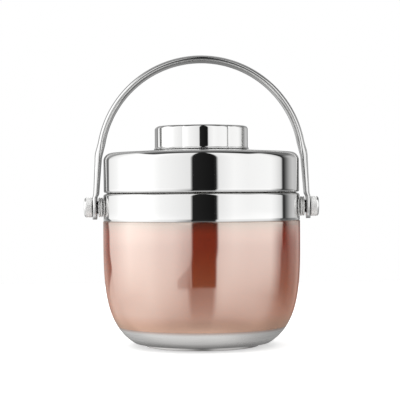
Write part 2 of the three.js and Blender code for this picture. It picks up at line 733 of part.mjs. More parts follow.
function lidGroup() {
  const group = new THREE.Group();
  group.add(
    piece("lid_shell", lidShell(), POLISHED),
    piece("inner_lid", innerLid(), WHITE_PLASTIC),
    piece("lid_insulation", lidInsulation(), FOAM),
    piece("lid_gasket", lidGasket(), SILICONE),
    piece("lid_knob", lidKnob(), POLISHED),
    piece("knob_core", knobCore(), GREY_PLASTIC),
    piece("knob_screw", knobScrew(), SATIN),
  );
  return group;
}

// One pivot, from the collar band outwards. The left one is the right one turned half a turn about Z.
function pivotGroup(side, turn) {
  const group = new THREE.Group();
  group.add(
    piece("pivot_ear_" + side, pivotEar(), POLISHED),
    piece("pivot_washer_" + side, washer(PIVOT_WASHER_START, PIVOT_WASHER_THICKNESS, EAR_RADIUS, EAR_EDGE), POLISHED),
    piece("spacer_washer_" + side, washer(SPACER_START, SPACER_THICKNESS, SPACER_RADIUS, 0), GREY_PLASTIC),
    piece("pivot_stud_" + side, pivotStud(), SATIN),
    piece("bail_bush_" + side, bailBush(), GREY_PLASTIC),
    piece("cap_nut_" + side, capNut(), POLISHED),
  );
  group.position.z = PIVOT_HEIGHT;
  group.rotation.z = turn;
  return group;
}

const pot = new THREE.Group();
pot.add(
  vesselGroup(),
  lidGroup(),
  pivotGroup("right", 0),
  pivotGroup("left", Math.PI),
  piece("bail", bail(), POLISHED),
);

export default pot;
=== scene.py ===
"""Looks for the insulated lunch pot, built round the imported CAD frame.

Blender's +Z is up, the front faces -Y and the bail's pivots lie along X. The pieces' sizes are in
millimetres, taken from the frame where a CAD node gives them, and MM turns them into metres. The shaders and
the studio are in metres, and angles are in degrees.
"""

import math

import bmesh
import bpy
from mathutils import Matrix, Vector


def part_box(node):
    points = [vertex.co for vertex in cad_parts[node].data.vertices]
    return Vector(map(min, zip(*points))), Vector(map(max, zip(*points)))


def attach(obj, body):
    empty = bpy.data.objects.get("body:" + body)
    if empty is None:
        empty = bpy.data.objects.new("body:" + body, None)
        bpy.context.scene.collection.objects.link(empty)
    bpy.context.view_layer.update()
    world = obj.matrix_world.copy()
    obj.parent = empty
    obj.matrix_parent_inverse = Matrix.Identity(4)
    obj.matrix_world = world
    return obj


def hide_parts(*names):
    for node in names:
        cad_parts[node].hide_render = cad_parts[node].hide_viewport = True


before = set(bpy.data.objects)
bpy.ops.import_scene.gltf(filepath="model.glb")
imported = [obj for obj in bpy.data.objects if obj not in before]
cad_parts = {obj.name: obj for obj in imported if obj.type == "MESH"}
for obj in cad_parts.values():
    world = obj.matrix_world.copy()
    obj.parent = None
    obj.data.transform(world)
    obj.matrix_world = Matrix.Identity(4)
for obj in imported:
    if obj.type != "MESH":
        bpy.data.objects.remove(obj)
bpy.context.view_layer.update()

MM = 0.001
ACROSS, DEEP, HIGH = range(3)  # the axes X, Y and Z


def lowest(node, axis):
    """The lowest coordinate of a CAD node along an axis, in millimetres."""
    return round(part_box(node)[0][axis] / MM, 4)


def highest(node, axis):
    """The highest coordinate of a CAD node along an axis, in millimetres."""
    return round(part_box(node)[1][axis] / MM, 4)


# Meshes
ROUND = 192  # steps round the vessel and the lid
SMALL_ROUND = 64  # steps round the pivot pieces
SUPPORT = 2.0  # a ring of points this far from a rounded edge keeps the wall beside it flat

# Where the pieces differ from the CAD's, each by about a pixel of the photograph or less
COLLAR_LIFT = 0.5  # foot of the collar
SEAT_DROP = 1.0  # rim of the knob's seat
KNOB_RISE = 0.3  # top of the knob
KNOB_DROP = 0.75  # foot of the knob
WASHER_CUT = 0.2  # outer face of the washer
SPACER_CUT = 0.5  # radius of the spacer
NUT_SHIFT = 0.15  # inner face of the nut

# Vessel
SHEET = 0.6
BODY_RADIUS = highest("outer_shell", DEEP)
WALL_TOP = lowest("collar_band", HIGH) + COLLAR_LIFT
WALL_EDGE = 0.5
BELLY_DROP = 1.8  # the curve of the wall starts this far under the CAD's collar
BELLY_TOP = lowest("collar_band", HIGH) - BELLY_DROP
BELLY_POLE = -4.7
BELLY_POWER = 3.8
BELLY_ROOT = 3.55
WELD_HEIGHT = 14.8
SEAT_GAP = 0.3
PAINT_GAP = 0.04
SHELL_NECK_RADIUS = 71.2
SHELL_RIM = highest("outer_shell", HIGH)
BASE_SHEET = 1.0
BASE_RECESS = 3.2
FOOT_RADIUS = 42.0
FOOT_HEIGHT = 2.6
FOOT_WIDTH = 2.8
FOOT_FLARE = 0.6  # the foot's inner side widens by this over its upper part
FOOT_FLARE_START = 2.4
FOOT_INNER_EDGE = 0.5
FOOT_OUTER_EDGE = 0.6
FOOT_GROOVE = 0.7
GROOVE_RISE = 0.15
COVER_RADIUS = highest("base_cover", DEEP)
COVER_SHEET = 0.8
COVER_EDGE = 0.5

# Collar
COLLAR_RADIUS = highest("collar_band", DEEP)
COLLAR_TOP = highest("collar_band", HIGH)
COLLAR_EDGE = 2.0
COLLAR_FOOT_EDGE = 0.3
COLLAR_MOUTH = 67.8
BAND_SHEET = 0.8
LIP = 0.6  # rolled edge that stands under the lid
LIP_START = 0.2
LIP_END = 0.5

# Lid
LID_RADIUS = highest("lid_shell", DEEP)
LID_BOTTOM = lowest("lid_shell", HIGH)
LID_HEIGHT = 29.25  # up to the shoulder's top
LID_HEM = 1.2
LID_HEM_SUPPORT = 3.0
LID_SHOULDER = 6.0
LID_SHOULDER_TOP = LID_BOTTOM + LID_HEIGHT
LID_SHOULDER_END = 88  # the shoulder's arc stops short of level, where the crown goes on
CROWN_RISE = 1.4
CROWN_TOP = LID_SHOULDER_TOP + CROWN_RISE
CROWN_BEND = 12.0  # outside the plinth, where the crown has risen by CROWN_SHARE
CROWN_SHARE = 0.62
PLINTH_RADIUS = 37.2
PLINTH_SLOPE = 2.4
PLINTH_BLEND = 0.6
PLINTH_STEPS = 12
PLINTH_TOP = highest("lid_shell", HIGH)
PLINTH_EDGE = PLINTH_TOP - SEAT_DROP
SEAT_INSET = 5.2  # from the plinth's rim to the raised seat that the knob hides
SEAT_STEP = 0.6
SCREW_HOLE = 2.8

# Knob
KNOB_BOTTOM = lowest("lid_knob", HIGH) - KNOB_DROP
KNOB_TOP = highest("lid_knob", HIGH) + KNOB_RISE
KNOB_EDGE = 2.4
KNOB_CROWN = 0.3
# How far inside the outline, and how far below the knob's top
CROWN_POINTS = [(34.0, 0.0), (24.0, 0.0), (9.0, 0.05), (3.0, 0.2)]
LOBES = 6
LOBE_RADIUS = 24.0
LOBE_OFFSET = 11.3
LOBE_TURN = 6.3
LOBE_STEPS = 12  # on each side of a lobe's middle
CREASE_DEPTH = 0.17
CREASE_ANGLE = 1.5
CREASE_STEP = 0.4
CREASE_STEPS = 6  # on each side of a valley
SHALLOW_CREASE = 0.2  # depth of every other crease, as a share
FILLET_WIDTH = 0.5
FILLET_HEIGHT = 1.1
FILLET_SUPPORT = 0.4
FILLET_STEPS = 10
BEAD_HEIGHT = 0.9
BEAD_DEPTH = 0.7
BEAD_ROUND = 0.42
BEAD_MIDDLE = 0.45
BEAD_TURN = 80  # the bead's arc goes this far up and down from level
BEAD_END = 0.1
KNOB_MIDDLE = 0.5  # least distance of a point from the axis

# Pivots
PIVOT_HEIGHT = (lowest("pivot_ear_right", HIGH) + highest("pivot_ear_right", HIGH)) / 2
STUD_BORE = highest("pivot_stud_right", DEEP) + SEAT_GAP
EAR_RADIUS = highest("pivot_ear_right", DEEP)
EAR_START = COLLAR_RADIUS - 0.6
EAR_NECK = 4.2
EAR_BACK = COLLAR_RADIUS + 0.6
EAR_BACK_EDGE = 0.4
EAR_FACE = highest("pivot_ear_right", ACROSS)
EAR_EDGE = 0.6
WASHER_START = lowest("pivot_washer_right", ACROSS)
WASHER_END = highest("pivot_washer_right", ACROSS) - WASHER_CUT
SPACER_START = lowest("spacer_washer_right", ACROSS)
SPACER_END = highest("spacer_washer_right", ACROSS)
SPACER_RADIUS = highest("spacer_washer_right", DEEP) - SPACER_CUT
SPACER_EDGE = 0.1
STRAP_START = lowest("bail_bush_right", ACROSS)
STRAP_END = highest("bail_bush_right", ACROSS)
NUT_START = lowest("cap_nut_right", ACROSS) - NUT_SHIFT
NUT_START_EDGE = 0.35
NUT_END = highest("cap_nut_right", ACROSS)
NUT_RADIUS = highest("cap_nut_right", DEEP)
NUT_EDGE = 1.8
NUT_EDGE_END = 84  # the nut's rounded edge stops short of its end face
NUT_WALL = 0.9

# Bail
BAIL_SPREAD = 2.0  # the middle of the tube stands this far outside the wall
BAIL_RADIUS = BODY_RADIUS + BAIL_SPREAD
BAIL_THICKNESS = 5.6
BAIL_CENTRE = highest("bail", HIGH) - BAIL_THICKNESS / 2 - BAIL_RADIUS
BAIL_WIDTH = 15.0
BAIL_STEPS = 48  # round the section
BAIL_SHARP = 50  # edges over this angle stay crisp
TUBE_POWER = 0.95  # 1 is an ellipse, and less is squarer
STRAP_POWER = 0.35
STRAP_FACE_POWER = 0.75
STRAP_THICKNESS = 3.3
STRAP_WIDTH = 17.5
STRAP_CORNER = 0.8
EYE_RADIUS = 9.0
EYE_BORE = highest("bail_bush_right", DEEP) + SEAT_GAP
EYE_STEPS = 13
EYE_FIRST = 4  # the first section stands this far round the eye from its lowest point
EYE_BUNCH = 0.9  # gathers the sections towards the end of the eye
LEG_STEPS = 40
LEG_THICKNESS = 3.8
LEG_LEAN = 1.5
LEG_OFFSET = 1.7
JOGGLE_START = 6.8
JOGGLE_END = 10.2
ARCH_STEPS = 72
ARCH_BUNCH = 1.15  # gathers the sections towards the leg
PINCH_ANGLE = 11.0
PUNCH_REACH = 90.0


# Mesh tools


def new_piece(name, verts, faces, sharp=32):
    """A smooth mesh object from millimetre points, with edges over the sharp angle kept crisp."""
    mesh = bpy.data.meshes.new(name)
    mesh.from_pydata([Vector(v) * MM for v in verts], [], faces)
    bm = bmesh.new()
    bm.from_mesh(mesh)
    bmesh.ops.recalc_face_normals(bm, faces=bm.faces)
    bm.to_mesh(mesh)
    bm.free()
    mesh.polygons.foreach_set("use_smooth", [True] * len(mesh.polygons))
    mesh.set_sharp_from_angle(angle=math.radians(sharp))
    obj = bpy.data.objects.new(name, mesh)
    bpy.context.collection.objects.link(obj)
    return obj


def bridge(rings, closed):
    """Faces between rings of point numbers, where a ring of one point is a pole."""
    faces = []
    pairs = list(zip(rings, rings[1:] + rings[:1])) if closed else list(zip(rings, rings[1:]))
    for low, high in pairs:
        count = max(len(low), len(high))
        for i in range(count):
            j = (i + 1) % count
            corners = [low[i % len(low)], low[j % len(low)], high[j % len(high)], high[i % len(high)]]
            face = list(dict.fromkeys(corners))
            if len(face) > 2:
                faces.append(face)
    return faces


def lathe(name, outline, steps=ROUND, along_x=0, height=0.0):
    """A solid of revolution of (radius, height) points about Z, or about X towards the side of along_x."""
    verts, rings = [], []
    for radius, z in outline:
        ring = []
        for i in range(1 if radius < 1e-6 else steps):
            turn = 2 * math.pi * i / steps
            a, b = radius * math.cos(turn), radius * math.sin(turn)
            verts.append((along_x * z, a, height + b) if along_x else (a, b, z))
            ring.append(len(verts) - 1)
        rings.append(ring)
    return new_piece(name, verts, bridge(rings, outline[0][0] > 1e-6))


def ease(value):
    value = min(max(value, 0.0), 1.0)
    return value * value * (3 - 2 * value)


def mix(a, b, share):
    return a + (b - a) * share


def arc(centre_radius, centre_height, edge, start, end, steps=8):
    """Points over a rounded edge, from one angle to another."""
    angles = [math.radians(start + (end - start) * i / steps) for i in range(steps + 1)]
    return [(centre_radius + edge * math.cos(a), centre_height + edge * math.sin(a)) for a in angles]


def belly(share, inset=0.0):
    """A point on the drawn wall, from its upright top (share 0) to its pole (share 1)."""
    depth = BELLY_TOP - BELLY_POLE
    opening = 1 - share**BELLY_POWER
    bow = BODY_RADIUS * opening ** (1 / BELLY_ROOT)
    slope = bow * BELLY_POWER * share ** (BELLY_POWER - 1) / (BELLY_ROOT * opening * depth)
    length = math.hypot(1, slope)
    return (bow - inset / length, BELLY_TOP - share * depth + inset * slope / length)


def belly_points(low, high, steps, inset=0.0):
    heights = [low + (high - low) * i / steps for i in range(steps + 1)]
    return [belly((BELLY_TOP - height) / (BELLY_TOP - BELLY_POLE), inset) for height in heights]


# Vessel


def make_wall():
    low, top = WELD_HEIGHT + PAINT_GAP / 2, WALL_TOP - SEAT_GAP
    inner = SHELL_NECK_RADIUS - SHEET
    outline = belly_points(low, BELLY_TOP, 60)
    outline += arc(BODY_RADIUS - WALL_EDGE, top - WALL_EDGE, WALL_EDGE, 0, 90, 5)
    outline += [(SHELL_NECK_RADIUS, top), (SHELL_NECK_RADIUS, SHELL_RIM), (inner, SHELL_RIM), (inner, top)]
    outline += belly_points(BELLY_TOP, low, 24, SHEET)
    return lathe("lacquered_wall", outline)


def make_base():
    high = WELD_HEIGHT - PAINT_GAP / 2
    floor = BASE_RECESS + BASE_SHEET
    inside = FOOT_RADIUS - FOOT_WIDTH
    outline = [(0, BASE_RECESS), (inside - FOOT_FLARE, BASE_RECESS), (inside, FOOT_FLARE_START)]
    outline += arc(inside + FOOT_INNER_EDGE, FOOT_INNER_EDGE, FOOT_INNER_EDGE, 180, 270, 4)
    outline += arc(FOOT_RADIUS - FOOT_OUTER_EDGE, FOOT_OUTER_EDGE, FOOT_OUTER_EDGE, 270, 360, 5)
    outline += [(FOOT_RADIUS, FOOT_HEIGHT - FOOT_GROOVE)]
    outline += arc(FOOT_RADIUS + FOOT_GROOVE, FOOT_HEIGHT - FOOT_GROOVE, FOOT_GROOVE, 180, 90, 5)
    outline += belly_points(FOOT_HEIGHT + GROOVE_RISE, high, 20)
    outline += belly_points(high, floor, 8, BASE_SHEET)
    outline += [(FOOT_RADIUS, floor), (0, floor)]
    return lathe("bare_steel_base", outline)


def make_base_cover():
    top = BASE_RECESS - SEAT_GAP
    bottom = top - COVER_SHEET
    outline = [(0, bottom)] + arc(COVER_RADIUS - COVER_EDGE, bottom + COVER_EDGE, COVER_EDGE, 270, 360, 5)
    return lathe("base_cover_disc", outline + [(COVER_RADIUS, top), (0, top)], SMALL_ROUND * 2)


def make_collar():
    centre, height = COLLAR_RADIUS - COLLAR_EDGE, COLLAR_TOP - COLLAR_EDGE
    foot = COLLAR_FOOT_EDGE
    outline = arc(COLLAR_RADIUS - foot, WALL_TOP + foot, foot, -90, 0, 4)
    outline += [(COLLAR_RADIUS, WALL_TOP + SUPPORT), (COLLAR_RADIUS, height - SUPPORT)]
    outline += arc(centre, height, COLLAR_EDGE, 0, 90, 12)
    outline += [(centre - LIP_START, COLLAR_TOP), (centre - LIP_END, COLLAR_TOP + LIP)]
    outline += [(COLLAR_MOUTH, COLLAR_TOP + LIP), (COLLAR_MOUTH, COLLAR_TOP - BAND_SHEET)]
    outline += arc(centre, height, COLLAR_EDGE - BAND_SHEET, 90, 0, 6)
    outline += [(COLLAR_RADIUS - BAND_SHEET, WALL_TOP)]
    return lathe("polished_collar", outline)


# Lid


def lid_outline(inset, steps):
    """The lid's surface from its turned-in lower edge to the middle, or a parallel surface inside it."""
    shoulder = (LID_RADIUS - LID_SHOULDER, LID_SHOULDER_TOP - LID_SHOULDER)
    points = arc(LID_RADIUS - LID_HEM, LID_BOTTOM + LID_HEM, LID_HEM - inset, -90, 0, steps // 2)
    wall = LID_RADIUS - inset
    points += [(wall, LID_BOTTOM + LID_HEM_SUPPORT), (wall, shoulder[1] - SUPPORT)]
    points += arc(*shoulder, LID_SHOULDER - inset, 0, LID_SHOULDER_END, steps)
    points += [(PLINTH_RADIUS + CROWN_BEND, mix(LID_SHOULDER_TOP, CROWN_TOP, CROWN_SHARE) - inset)]
    for i in range(PLINTH_STEPS + 1):
        share = i / PLINTH_STEPS
        radius = mix(PLINTH_RADIUS + PLINTH_SLOPE + PLINTH_BLEND, PLINTH_RADIUS - PLINTH_BLEND, share)
        points.append((radius, mix(CROWN_TOP, PLINTH_EDGE, ease(share)) - inset))
    seat = PLINTH_RADIUS - SEAT_INSET - inset
    return points + [(seat, PLINTH_EDGE - inset), (seat - SEAT_STEP, PLINTH_TOP - inset)]


def make_lid():
    outline = lid_outline(0, 16) + [(SCREW_HOLE, PLINTH_TOP), (SCREW_HOLE, PLINTH_TOP - SHEET)]
    outline += lid_outline(SHEET, 8)[::-1]
    return lathe("polished_lid", outline)


def knob_radius(turn, deep):
    """Radius of the lobed outline, by the angle from the middle of a lobe, with a crease in the valley."""
    a = math.radians(turn)
    lobe = LOBE_OFFSET * math.cos(a) + math.sqrt(LOBE_RADIUS**2 - (LOBE_OFFSET * math.sin(a)) ** 2)
    depth = CREASE_DEPTH * (1 if deep else SHALLOW_CREASE)
    return lobe - depth * math.exp(-(((180 / LOBES - abs(turn)) / CREASE_ANGLE) ** 2))


def knob_turns():
    """Angles over one lobe from its middle, close together in the valleys."""
    valley = 180 / LOBES
    smooth = valley - CREASE_STEPS * CREASE_STEP
    first = [-valley + CREASE_STEP * i for i in range(CREASE_STEPS)]
    middle = [smooth * i / LOBE_STEPS for i in range(-LOBE_STEPS, LOBE_STEPS + 1)]
    last = [valley - CREASE_STEP * (CREASE_STEPS - i) for i in range(1, CREASE_STEPS)]
    return first + middle + last


def knob_surface(inset):
    """Rings over the knob's top and its rounded edge: how far inside the outline, and how high."""
    crown = [(inside, KNOB_TOP - drop - inset) for inside, drop in CROWN_POINTS]
    edge = arc(-KNOB_EDGE, KNOB_TOP - KNOB_CROWN - KNOB_EDGE, KNOB_EDGE - inset, 90, 0, 8)
    return crown + [(-r, z) for r, z in edge]


def make_knob():
    around = [(lobe, turn) for lobe in range(LOBES) for turn in knob_turns()]
    radii = [knob_radius(turn, (turn > 0) == (lobe % 2 == 0)) for lobe, turn in around]
    angles = [math.radians(LOBE_TURN - 90 + 360 * lobe / LOBES + turn) for lobe, turn in around]
    fillet = KNOB_BOTTOM + BEAD_HEIGHT + FILLET_HEIGHT
    contour = knob_surface(0) + [(0.0, fillet + FILLET_SUPPORT)]
    for i in range(1, FILLET_STEPS):
        a = math.radians(90 * i / FILLET_STEPS)
        contour.append((FILLET_WIDTH * (math.cos(a) - 1), fillet - FILLET_HEIGHT * math.sin(a)))
    bead = arc(BEAD_DEPTH - BEAD_ROUND, KNOB_BOTTOM + BEAD_MIDDLE, BEAD_ROUND, BEAD_TURN, -BEAD_TURN, 8)
    contour += [(-r, z) for r, z in bead]
    contour += [(BEAD_END, KNOB_BOTTOM), (SHEET, KNOB_BOTTOM)] + knob_surface(SHEET)[::-1]
    verts, rings = [], []
    for inset, z in contour:
        ring = []
        for radius, angle in zip(radii, angles):
            away = max(radius - inset, KNOB_MIDDLE)
            verts.append((away * math.cos(angle), away * math.sin(angle), z))
            ring.append(len(verts) - 1)
        rings.append(ring)
    faces = bridge(rings, False) + [rings[0], rings[-1]]
    return new_piece("lobed_knob", verts, faces)


# Pivots


def disc_outline(start, end, radius, edge):
    outline = [(STUD_BORE, start)] + arc(radius - edge, start + edge, edge, -90, 0, 5)
    return outline + arc(radius - edge, end - edge, edge, 0, 90, 5) + [(STUD_BORE, end)]


def ear_outline():
    """A disc on the collar, with a narrower neck behind it."""
    outline = [(STUD_BORE, EAR_START), (EAR_NECK, EAR_START), (EAR_NECK, EAR_BACK)]
    outline += arc(EAR_RADIUS - EAR_BACK_EDGE, EAR_BACK + EAR_BACK_EDGE, EAR_BACK_EDGE, -90, 0, 4)
    outline += arc(EAR_RADIUS - EAR_EDGE, EAR_FACE - EAR_EDGE, EAR_EDGE, 0, 90, 5)
    return outline + [(STUD_BORE, EAR_FACE)]


def nut_outline():
    edge = NUT_START_EDGE
    outline = [(STUD_BORE, NUT_START)] + arc(NUT_RADIUS - edge, NUT_START + edge, edge, -90, 0, 4)
    outline += arc(NUT_RADIUS - NUT_EDGE, NUT_END - NUT_EDGE, NUT_EDGE, 0, NUT_EDGE_END, 9)
    return outline + [(0, NUT_END), (0, NUT_END - NUT_WALL), (STUD_BORE, NUT_END - NUT_WALL)]


def make_pivot(side, sign):
    """The four turned pieces of one pivot, each with the CAD node that it stands for."""
    washer = disc_outline(WASHER_START, WASHER_END, EAR_RADIUS, EAR_EDGE)
    spacer = disc_outline(SPACER_START, SPACER_END, SPACER_RADIUS, SPACER_EDGE)
    rows = [
        ("pivot_ear", "ear_disc", ear_outline()),
        ("pivot_washer", "dished_washer", washer),
        ("spacer_washer", "dark_spacer", spacer),
        ("cap_nut", "cap_nut_dome", nut_outline()),
    ]
    return {
        f"{node}_{side}": lathe(f"{name}_{side}", outline, SMALL_ROUND, sign, PIVOT_HEIGHT)
        for node, name, outline in rows
    }


# Bail


def bail_half():
    """Sections of the right half from the eye to the top: (x, z, tilt, thickness, width, power)."""
    eye_x = (STRAP_START + STRAP_END) / 2
    sections = []
    for i in range(EYE_STEPS + 1):
        angle = math.radians(mix(EYE_FIRST, 90, (i / EYE_STEPS) ** EYE_BUNCH))
        rise = PIVOT_HEIGHT - EYE_RADIUS * math.cos(angle)
        sections.append((eye_x, rise, 0.0, STRAP_THICKNESS, 2 * EYE_RADIUS * math.sin(angle), STRAP_POWER))
    leg_x = BAIL_RADIUS + LEG_OFFSET
    top_thickness = (LEG_THICKNESS + BAIL_THICKNESS) / 2
    low, high = PIVOT_HEIGHT + JOGGLE_START, PIVOT_HEIGHT + JOGGLE_END
    for i in range(1, LEG_STEPS + 1):
        z = mix(PIVOT_HEIGHT, BAIL_CENTRE, i / LEG_STEPS)
        leg = max((z - high) / (BAIL_CENTRE - high), 0.0)
        step = ease((z - low) / (high - low))
        x = mix(eye_x, leg_x + LEG_LEAN * (1 - leg), step)
        thick = mix(STRAP_THICKNESS, mix(LEG_THICKNESS, top_thickness, leg), step)
        width = mix(2 * EYE_RADIUS, STRAP_WIDTH, ease((z - PIVOT_HEIGHT) / JOGGLE_END))
        sections.append((x, z, 0.0, thick, width, STRAP_POWER))
    for i in range(1, ARCH_STEPS + 1):
        angle = 90 * (i / ARCH_STEPS) ** ARCH_BUNCH
        pinch = min(angle / PINCH_ANGLE, 1.0)
        radius = BAIL_RADIUS + LEG_OFFSET * (1 + math.cos(math.pi * pinch)) / 2
        thick = mix(top_thickness, BAIL_THICKNESS, ease(2 * pinch))
        width = mix(STRAP_WIDTH, BAIL_WIDTH, ease(pinch))
        a = math.radians(angle)
        place = (radius * math.cos(a), BAIL_CENTRE + radius * math.sin(a), angle)
        sections.append((*place, thick, width, mix(STRAP_POWER, TUBE_POWER, ease(pinch))))
    return sections


def bail_ring(x, z, tilt, thick, width, power):
    """Points round one section: an oval on the arch, and on the legs a strap with a crowned outer face."""

    def bent(value, bend):
        return math.copysign(abs(value) ** bend, value)

    strap = (TUBE_POWER - power) / (TUBE_POWER - STRAP_POWER)
    inner = mix(thick / 2, STRAP_CORNER, strap)
    outer_power, inner_power = mix(TUBE_POWER, STRAP_FACE_POWER, strap), mix(TUBE_POWER, STRAP_POWER, strap)
    t = math.radians(tilt)
    ring = []
    for i in range(BAIL_STEPS):
        turn = 2 * math.pi * i / BAIL_STEPS
        outside = math.cos(turn) >= 0
        bend = outer_power if outside else inner_power
        across = inner - thick / 2 + (thick - inner if outside else inner) * bent(math.cos(turn), bend)
        along = width / 2 * bent(math.sin(turn), bend)
        ring.append((x + across * math.cos(t), along, z + across * math.sin(t)))
    return ring


def make_bail():
    rings = [bail_ring(*section) for section in bail_half()]
    rings += [[(-x, y, z) for x, y, z in ring] for ring in rings[-2::-1]]
    verts = [v for ring in rings for v in ring]
    numbers = [list(range(r * BAIL_STEPS, (r + 1) * BAIL_STEPS)) for r in range(len(rings))]
    faces = bridge(numbers, False) + [numbers[0], numbers[-1]]
    bail = new_piece("bail_tube", verts, faces, BAIL_SHARP)
    rod = [(0, -PUNCH_REACH), (EYE_BORE, -PUNCH_REACH), (EYE_BORE, PUNCH_REACH), (0, PUNCH_REACH)]
    punch = lathe("punch", rod, SMALL_ROUND, 1, PIVOT_HEIGHT)
    cut = bail.modifiers.new("eyes", "BOOLEAN")
    cut.operation = "DIFFERENCE"
    cut.solver = "EXACT"
    cut.object = punch
    shaped = bpy.data.meshes.new_from_object(bail.evaluated_get(bpy.context.evaluated_depsgraph_get()))
    bail.modifiers.clear()
    bail.data = shaped
    bpy.data.objects.remove(punch)
    return bail


# Node tools


class Nodes:
    """Short calls for making and linking the nodes of one tree."""

    def __init__(self, tree):
        self.tree = tree

    def add(self, kind, **values):
        node = self.tree.nodes.new(kind)
        for name, value in values.items():
            setattr(node, name, value)
        return node

    def feed(self, socket, value):
        if isinstance(value, bpy.types.NodeSocket):
            self.tree.links.new(value, socket)
        else:
            socket.default_value = value

    def feed_all(self, node, *values):
        for socket, value in zip(node.inputs, values):
            self.feed(socket, value)
        return node

    def math(self, operation, a, b=0.0):
        return self.feed_all(self.add("ShaderNodeMath", operation=operation), a, b).outputs[0]

    def plus(self, a, b):
        return self.math("ADD", a, b)

    def times(self, a, b):
        return self.math("MULTIPLY", a, b)

    def length(self, a, b):
        return self.math("SQRT", self.plus(self.times(a, a), self.times(b, b)))

    def step(self, value, low, high, to_low=0.0, to_high=1.0):
        """A smooth step from one level to another as the value goes from low to high."""
        node = self.add("ShaderNodeMapRange", interpolation_type="SMOOTHSTEP")
        return self.feed_all(node, value, low, high, to_low, to_high).outputs[0]

    def line(self, value, low, high):
        """A straight rise from 0 to 1 as the value goes from low to high."""
        return self.feed_all(self.add("ShaderNodeMapRange"), value, low, high, 0.0, 1.0).outputs[0]

    def window(self, value, start, full, fade, end):
        """1 from full to fade, and 0 before start and after end."""
        return self.times(self.step(value, start, full), self.step(value, fade, end, 1.0, 0.0))

    def ramp(self, value, stops, low, high):
        """A grey level read off a row of (place, level) stops, with places between low and high."""
        node = self.add("ShaderNodeValToRGB")
        elements = node.color_ramp.elements
        while len(elements) < len(stops):
            elements.new(0.5)
        for element, (place, level) in zip(elements, stops):
            element.position = (place - low) / (high - low)
            element.color = (level, level, level, 1)
        return self.feed_all(node, self.line(value, low, high)).outputs[0]

    def noise(self, scale, detail=2.0, vector=None):
        """Noise over the given coordinates, or over the object's own in metres."""
        node = self.add("ShaderNodeTexNoise")
        node.inputs["Scale"].default_value = scale
        node.inputs["Detail"].default_value = detail
        self.feed(node.inputs["Vector"], self.place() if vector is None else vector)
        return node.outputs[0]

    def place(self):
        return self.add("ShaderNodeTexCoord").outputs["Object"]

    def split(self, vector=None):
        """The x, y and z of a vector, or of the object's own coordinates."""
        node = self.add("ShaderNodeSeparateXYZ")
        return self.feed_all(node, self.place() if vector is None else vector).outputs

    def joined(self, x, y, z):
        return self.feed_all(self.add("ShaderNodeCombineXYZ"), x, y, z).outputs[0]

    def turned(self, fine, coarse):
        """Coordinates whose noise makes lines round the Z axis: fine up the wall, and coarse round it."""
        x, y, z = self.split()
        angle = self.times(self.math("ARCTAN2", y, x), coarse)
        return self.joined(angle, self.times(z, fine), self.times(self.length(x, y), fine))

    def blend(self, share, a, b):
        """A number between two, by a share."""
        node = self.add("ShaderNodeMix", data_type="FLOAT")
        for name, value in (("Factor", share), ("A", a), ("B", b)):
            self.feed(node.inputs[name], value)
        return node.outputs["Result"]

    def bump(self, height, strength, distance, after=None):
        node = self.add("ShaderNodeBump")
        node.inputs["Strength"].default_value = strength
        node.inputs["Distance"].default_value = distance
        self.feed(node.inputs["Height"], height)
        if after is not None:
            self.feed(node.inputs["Normal"], after)
        return node.outputs[0]

    def tinted(self, share, low, high):
        """A colour between two, each a plain (r, g, b) or a socket, by a share."""
        node = self.add("ShaderNodeMix", data_type="RGBA")
        self.feed(node.inputs["Factor"], share)
        for name, value in (("A", low), ("B", high)):
            self.feed(node.inputs[name], (*value, 1) if isinstance(value, tuple) else value)
        return node.outputs["Result"]


def principled(name, colour, metallic, roughness, **settings):
    material = bpy.data.materials.new(name)
    material.use_nodes = True
    shader = material.node_tree.nodes["Principled BSDF"]
    shader.inputs["Base Color"].default_value = (*colour, 1)
    shader.inputs["Metallic"].default_value = metallic
    shader.inputs["Roughness"].default_value = roughness
    for socket, value in settings.items():
        shader.inputs[socket.replace("_", " ")].default_value = value
    return material, Nodes(material.node_tree), shader


# Materials

# Heights between which a finish, a colour or a painted shadow changes, in metres like the object's
# coordinates
CROWN_BRUSHED = [(LID_SHOULDER_TOP + z) * MM for z in (-0.4, 0.1, 2.4, 2.6)]
KNOB_BRUSHED = [(KNOB_TOP + z) * MM for z in (-0.7, -0.5)]
# painted reflection lines show on the arch between these heights
ARCH_PAINTED_LINES = [(BAIL_CENTRE + z) * MM for z in (8.0, 40.0)]
NUT_POLISHED = [(NUT_END - NUT_EDGE + x) * MM for x in (0.1, 0.4)]
# painted shadow: the base's colour darkens below these heights, standing in for the contact shadow at the
# foot
BASE_PAINTED_SHADOW = [z * MM for z in (3.6, 7.2)]
PAINT_SPILL = [z * MM for z in (-2.8, 0.4)]
PAINT_DEEP = [z * MM for z in (16.5, 27.5)]
PAINT_FADE = [z * MM for z in (22.0, 75.0)]
PAINT_DARK_TOP = [z * MM for z in (83.0, 92.0)]

LINE_PITCH = 1.25 * MM  # between the painted reflection lines that run along the bail
STREAK_FINE = 1500.0  # how fine the bail's streaks are across the tube, and how drawn out along it
STREAK_ALONG = (25.0, 12.0)


def polished_steel():
    """Mirror steel with faint turning marks, the waviness of drawn sheet, and brushed upper faces."""
    material, n, shader = principled("polished_steel", (0.8, 0.8, 0.795), 1.0, 0.03)
    height = n.split()[2]
    top = n.plus(n.window(height, *CROWN_BRUSHED), n.step(height, *KNOB_BRUSHED))
    marks = n.noise(1.0, 3.0, n.turned(900, 1.5))
    brushed = n.noise(1.0, 2.0, n.turned(2200, 5.0))
    gloss = n.step(marks, 0.3, 0.8, 0.02, 0.05)
    rough = n.step(brushed, 0.3, 0.7, 0.2, 0.3)
    n.feed(shader.inputs["Roughness"], n.plus(gloss, n.times(top, rough)))
    waves = n.bump(n.noise(22.0, 1.0), 0.05, 0.002)
    n.feed(shader.inputs["Normal"], n.bump(n.times(brushed, top), 0.06, 0.0002, waves))
    return material


